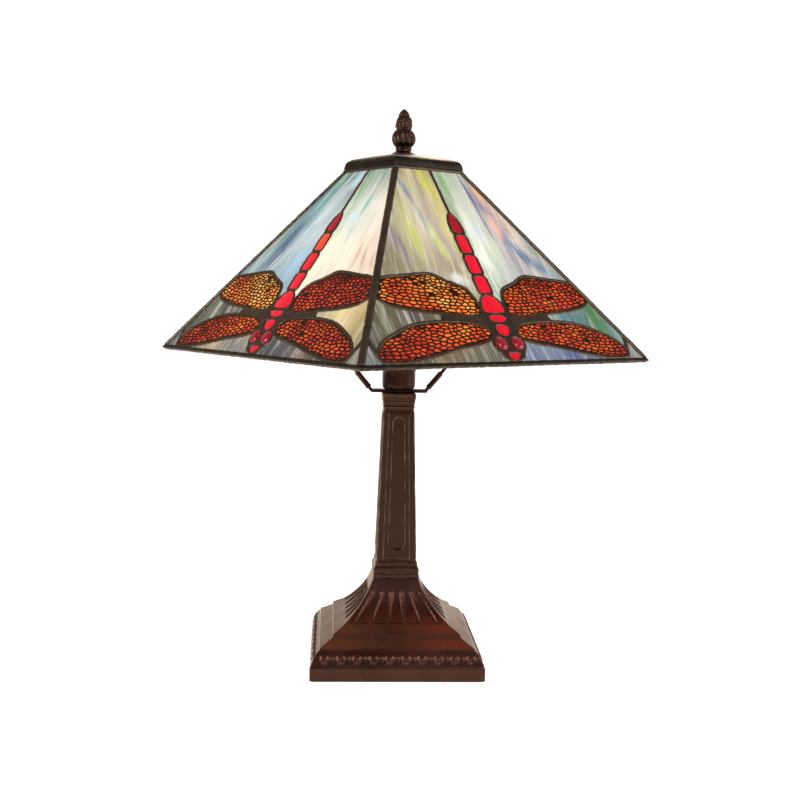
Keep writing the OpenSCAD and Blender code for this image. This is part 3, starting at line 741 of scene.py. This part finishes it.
def rounded(polygon):
    """One pass of corner cutting, which turns a cell's corners into short curves."""
    made = []
    near, far = 1 - CORNER_CUT, CORNER_CUT
    for p, q in zip(polygon, polygon[1:] + polygon[:1]):
        made += [(p[0] * near + q[0] * far, p[1] * near + q[1] * far),
                 (p[0] * far + q[0] * near, p[1] * far + q[1] * near)]
    return made


def cell_seeds(loop, random):
    """Seeds in ragged rows along the wing's lower edge, and how far from it each is: long bricks low down,
    smaller and looser cells above."""
    left, right = loop[:, 0].min(), loop[:, 0].max()
    stations = np.linspace(left, right, 24)
    low_side = [loop[(loop[:, 0] > x - 9 * MM) & (loop[:, 0] < x + 9 * MM), 1].min() for x in stations]
    height = loop[:, 1].max() - loop[:, 1].min()
    seeds, loosenesses = [], []
    y = 0.3 * CELL_HIGH
    while y < 1.6 * height:
        loose = min(1, max(0, y / (30 * MM) - 0.25))
        long = CELL_LONG * (1.1 - 0.42 * loose)
        high = CELL_HIGH * (1 - 0.1 * loose)
        x = left - random.uniform(0, long)
        while x < right + long:
            seeds.append((x + random.uniform(-0.2, 0.2) * long * (1 + 1.2 * loose),
                          np.interp(x, stations, low_side) + y
                          + random.uniform(-0.15, 0.15) * high * (1 + 2.6 * loose)))
            loosenesses.append(loose)
            x += long * random.uniform(0.7, 1.3)
        y += high
    return np.array(seeds), loosenesses


def cells(loop, random):
    """Windows of the overlay inside one wing's outline: brickwork with a few cells and patches closed."""
    border = [tuple(p) for p in moved_in(loop, OVERLAY_BAND)]
    seeds, loosenesses = cell_seeds(loop, random)
    stretch = np.array([1.0, CELL_LONG / CELL_HIGH])
    scaled = seeds * stretch
    solid = wobble(np.pad(seeds, ((0, 0), (0, 1))), 13 * MM, int(random.integers(1000)))
    made = []
    for seed, loose, patch in zip(scaled, loosenesses, solid):
        gap = np.linalg.norm(scaled - seed, axis=1)
        wire = WIRE * random.uniform(0.75, 1.3)
        polygon = border
        for j in np.argsort(gap)[1:22]:
            normal = (scaled[j] - seed) * stretch
            limit = (scaled[j] @ scaled[j] - seed @ seed) / 2
            size = np.linalg.norm(normal)
            polygon = clipped(polygon, normal / size, limit / size - wire / 2)
            if len(polygon) < 3:
                break
        closed = random.uniform() < (0.55 if patch > 1.45 else 0.05) * loose
        if not closed and len(polygon) > 2 and area(polygon) > CELL_LEAST:
            made.append(rounded(polygon))
    return made


def overlay(face, material):
    """The pierced metal sheet on the four wings: one flat curve per wing with a hole for each cell."""
    node = "filigree_" + face.name
    random = np.random.default_rng(11 + FACES.index(face.name))
    curve = bpy.data.curves.new("pierced_" + node, "CURVE")
    curve.dimensions = "2D"
    curve.fill_mode = "BOTH"
    curve.extrude = OVERLAY_T / 2 - OVERLAY_ROUND
    curve.bevel_depth = OVERLAY_ROUND
    curve.bevel_resolution = 1
    curve.offset = -OVERLAY_ROUND
    for loop in outlines(face, "wings_" + face.name):
        for ring in [[tuple(p) for p in loop]] + cells(loop, random):
            spline = curve.splines.new("POLY")
            spline.points.add(len(ring) - 1)
            spline.points.foreach_set("co", [c for p in ring for c in (p[0], p[1], 0, 1)])
            spline.use_cyclic_u = True
    obj = applied(new_object(curve.name, curve))
    tidy = bmesh.new()
    tidy.from_mesh(obj.data)
    bmesh.ops.remove_doubles(tidy, verts=tidy.verts, dist=SAME)
    tidy.to_mesh(obj.data)
    tidy.free()
    points = points_of(obj.data) + np.array([0, 0, OVERLAY_T / 2])
    set_points(obj.data, face.world(points))
    finish(obj, material, "shade", [node])


# ---- Metal parts with shapes of their own ----

# In mm up the finial: its top, where its petals and its scales start and end, and one row of scales
FINIAL_HIGH = 46
PETALS = 8, 25
SCALES = 27, 45.5
SCALE_ROW = 6


def finial(material):
    """The carved finial: petals on the lower bulb and scales on the bud."""
    low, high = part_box("finial")
    foot, total = low.z, high.z - low.z
    # Half of its outline, from the foot up: radius and height in mm
    lathe = [(11.8, 0), (11.8, 1), (10.9, 1.8), (9.4, 2.5), (8.2, 3.4), (7.6, 5.2), (8.2, 6.2), (8.2, 7),
             (7.6, 7.8), (9.6, 9), (11.4, 11.4), (12.4, 14.4), (12.3, 17.2), (11.5, 20), (9.9, 22.8),
             (8.2, 24.4), (7.6, 25.2), (7.6, 26), (8.4, 27.4), (8.9, 29.4), (8.7, 31.8), (8.1, 34.4),
             (7.1, 36.8), (6, 39), (4.6, 41.8), (2.8, 44.2)]
    corners = range(len(lathe))
    places = np.linspace(0, corners[-1], 120)
    turned = zip(*(np.interp(places, corners, column) for column in zip(*lathe)))
    profile = [(0, 0), *turned, (0, FINIAL_HIGH)]

    def carve(angle, radius, height):
        if PETALS[0] < height < PETALS[1]:
            t = (height - PETALS[0]) / (PETALS[1] - PETALS[0])
            petal = abs(math.sin(4 * angle + 1.1 * t)) ** 0.6
            return -1.9 * math.sin(math.pi * t) ** 0.5 * (1 - petal)
        if SCALES[0] < height < SCALES[1]:
            row = (height - SCALES[0]) / SCALE_ROW
            turn = 3.5 * angle + (math.pi / 2 if int(row) % 2 else 0)
            leaf = abs(math.sin(turn)) ** 0.8
            return -1.3 * (1 - leaf * (1 - (row % 1) ** 2 * 0.6)) * min(1, radius / 6)
        return 0

    obj = revolved("carved_finial", profile, 192, carve)
    points = points_of(obj.data)
    scale = total / (FINIAL_HIGH * MM)
    set_points(obj.data, points * MM * np.array([1, 1, scale]) + np.array([0, 0, foot]))
    finish(obj, material, "finial", ["finial"])


# ---- Everything else ----

def cast(name, node, metal, body, slot, *shape):
    """Puts a softened piece of metal in a CAD node's place. shape is what softened asks for after nodes."""
    finish(softened(name, [node], *shape), metal, body, [node])


def materials_and_metal():
    solder = patina("solder_patina", "352c25", "54473b", "7c6c5c", 0.34, 0.08 * MM, 0.35)
    cap = patina("cap_patina", "1e1a17", "302a26", "5f544b", 0.38, 0.08 * MM, 0.3)
    carved = patina("finial_patina", "2c1d17", "44302a", "75604f", 0.36, 0.06 * MM, 0.4)
    # The column's pale edges are strong: rubbed metal and painted highlights along its panels' edges
    column = patina("column_patina", "2c1e18", "402d24", "a8937f", 0.32, 0.05 * MM, 0.9, 0.2)
    base = patina("base_patina", "34211a", "493028", "866a5a", 0.3, 0.05 * MM, 0.45)
    bronze = turned_metal("bronzed_fittings", "3a251c", "22150f", 0.3)
    brass = turned_metal("aged_brass", "a98346", "6b5028", 0.32)

    edges = ("shade_top_ring", solder), ("shade_rim", cap), ("shade_hips", solder)
    for seed, (node, metal) in enumerate(edges):
        cast("solder_" + node, node, metal, "shade", "cap_bronze",
             0.7 * MM, 3, 0.05 * MM, 0.12 * MM, 9 * MM, 20 + seed)
    for seed, name in enumerate(FACES):
        cast("solder_leading_" + name, "leading_" + name, solder, "shade", "solder",
             0.85 * MM, 4, 0.14 * MM, 0.11 * MM, 7 * MM, 30 + seed)
    cast("cast_shade_cap", "shade_cap", cap, "shade", "cap_bronze", 0.7 * MM, 5, 0, 0.08 * MM, 11 * MM, 40)
    finial(carved)

    cast("cast_column", "column", column, "stand", "column_bronze", 0.5 * MM, 2, 0, 0.03 * MM, 14 * MM, 41)
    cast("cast_collar", "column_collar", column, "stand", "column_bronze",
         0.5 * MM, 2, 0, 0.02 * MM, 14 * MM, 42)
    cast("cast_base", "base_casting", base, "stand", "base_bronze",
         0.65 * MM, 3, 0, 0.04 * MM, 16 * MM, 43, 195000)

    paint(bronze, "harp_saddle", "harp_hoop", "socket_cup", "socket_shell", "ferrule_left", "ferrule_right")
    paint(brass, "pipe_washer", "pipe_locknut", "threaded_pipe", "harp_stud", "screw_shell", "centre_contact",
          "shade_seat")
    paint(turned_metal("bulb_aluminium", "c9c7c0", "96938b", 0.3), "bulb_base")
    paint(speckled("felt", "161a16", "2b302a", 0.5 * MM, 0.9, 0.25 * MM, Sheen_Weight=0.6), "felt_pad")
    paint(speckled("cast_iron", "2a2a2b", "47464a", 2 * MM, 0.6, 0.2 * MM, Metallic=0.8), "base_weight")
    paint(speckled("rubber", "0c0c0c", "1a1a1a", 1.5 * MM, 0.6, 0.03 * MM), "cord_bushing")
    paint(speckled("insulator", "cfc9b8", "e3dece", 3 * MM, 0.5, 0.02 * MM), "socket_core")
    plastic = speckled("knob_plastic", "0d0b0b", "1d1917", 2.5 * MM, 0.22, 0.02 * MM, Coat_Weight=0.4)
    paint(plastic, "switch_knob", "bulb_contact")
    paint(frosted_bulb("bulb_frost"), "bulb_glass")


def shade_faces():
    """All that each of the four faces holds but its solder."""
    amber, red, jewel = wing_glass("amber_glass"), red_glass("ruby_glass"), jewel_glass("jewel_glass")
    pierced = patina("overlay_patina", "20150f", "33241c", "5c4434", 0.45, 0.05 * MM, 0.2)
    for name in FACES:
        face = Face(name)
        background(face)
        wing_panes(face, amber)
        body_panes(face, red)
        eyes(face, jewel)
        overlay(face, pierced)


# ---- Stage ----

# The floor's radius, and how bright the white surroundings are to the eye and as light
FLOOR_RADIUS = 60
BRIGHT_SEEN, BRIGHT_AS_LIGHT = 1.05, 0.55


def camera():
    """The camera where the photographer's stood."""
    data = bpy.data.cameras.new("camera")
    data.lens = CAMERA_LENS
    data.clip_end = 200
    obj = new_object("camera", data)
    cy, sy = math.cos(CAMERA_YAW), math.sin(CAMERA_YAW)
    cp, sp = math.cos(CAMERA_PITCH), math.sin(CAMERA_PITCH)
    forward = Vector((-sy * cp, cy * cp, sp))
    level = Vector((cy, sy, 0))
    up = level.cross(forward)
    cr, sr = math.cos(CAMERA_ROLL), math.sin(CAMERA_ROLL)
    right, top = cr * level + sr * up, cr * up - sr * level
    turn = Matrix((right, top, -forward)).transposed().to_4x4()
    obj.matrix_world = Matrix.Translation(CAMERA_AT) @ turn
    bpy.context.scene.camera = obj


def floor():
    mesh = bmesh.new()
    bmesh.ops.create_circle(mesh, cap_ends=True, segments=96, radius=FLOOR_RADIUS)
    data = bpy.data.meshes.new("floor")
    mesh.to_mesh(data)
    mesh.free()
    obj = new_object("floor", data)
    obj.location.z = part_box("felt_pad")[0].z
    s = Shader("floor_paper", Roughness=0.9, Specular_IOR_Level=0.1)
    tooth = s.noise(s.place(), 260, 3)
    s.set("Base Color", s.ramp(s.level(tooth, 0.2, 0.8), ["eeeeec", "f6f6f4"]))
    s.set("Emission Color", (1, 1, 1, 1))
    s.set("Emission Strength", 0.6)
    data.materials.append(s.material)


def lamp(name, at, towards, size, watts, colour=(1, 1, 1)):
    """A round studio lamp that the camera doesn't see."""
    data = bpy.data.lights.new(name, "AREA")
    data.shape = "DISK"
    data.size = size
    data.energy = watts
    data.color = colour
    obj = new_object(name, data)
    obj.visible_camera = False
    obj.location = at
    obj.rotation_mode = "QUATERNION"
    obj.rotation_quaternion = (Vector(towards) - Vector(at)).to_track_quat("-Z", "Y")


def studio():
    """A white backdrop, dimmer surroundings, large lamps all round, and the coloured glass's glow below."""
    world = bpy.data.worlds.new("studio")
    world.use_nodes = True
    tree = world.node_tree
    sight = tree.nodes.new("ShaderNodeLightPath").outputs["Is Camera Ray"]
    level = tree.nodes.new("ShaderNodeMapRange")
    level.inputs["To Min"].default_value = BRIGHT_AS_LIGHT
    level.inputs["To Max"].default_value = BRIGHT_SEEN
    tree.links.new(sight, level.inputs["Value"])
    tree.links.new(level.outputs["Result"], tree.nodes["Background"].inputs["Strength"])
    tree.nodes["Background"].inputs["Color"].default_value = (1, 1, 1, 1)
    bpy.context.scene.world = world
    bpy.context.scene.view_settings.view_transform = "Standard"
    middle = (0, 0, 0.3)
    lamp("key", (1.1, -1.6, 1.7), middle, 1.0, 22)
    lamp("left", (-1.6, -0.7, 0.9), middle, 0.8, 22)
    lamp("right", (1.8, -0.2, 0.6), middle, 1.2, 14)
    lamp("back", (0.4, 1.6, 1.6), middle, 1.0, 14)
    lamp("backdrop", (0, 3.2, 0.75), middle, 3.0, 13)
    for side, colour in ((-1, (1.0, 0.58, 0.3)), (1, (1.0, 0.34, 0.22))):
        lamp(f"glow_{side}", (side * 0.09, -0.03, 0.34), (side * 0.07, -0.06, 0), 0.09, 0.08, colour)
    floor()


camera()
materials_and_metal()
shade_faces()
studio()
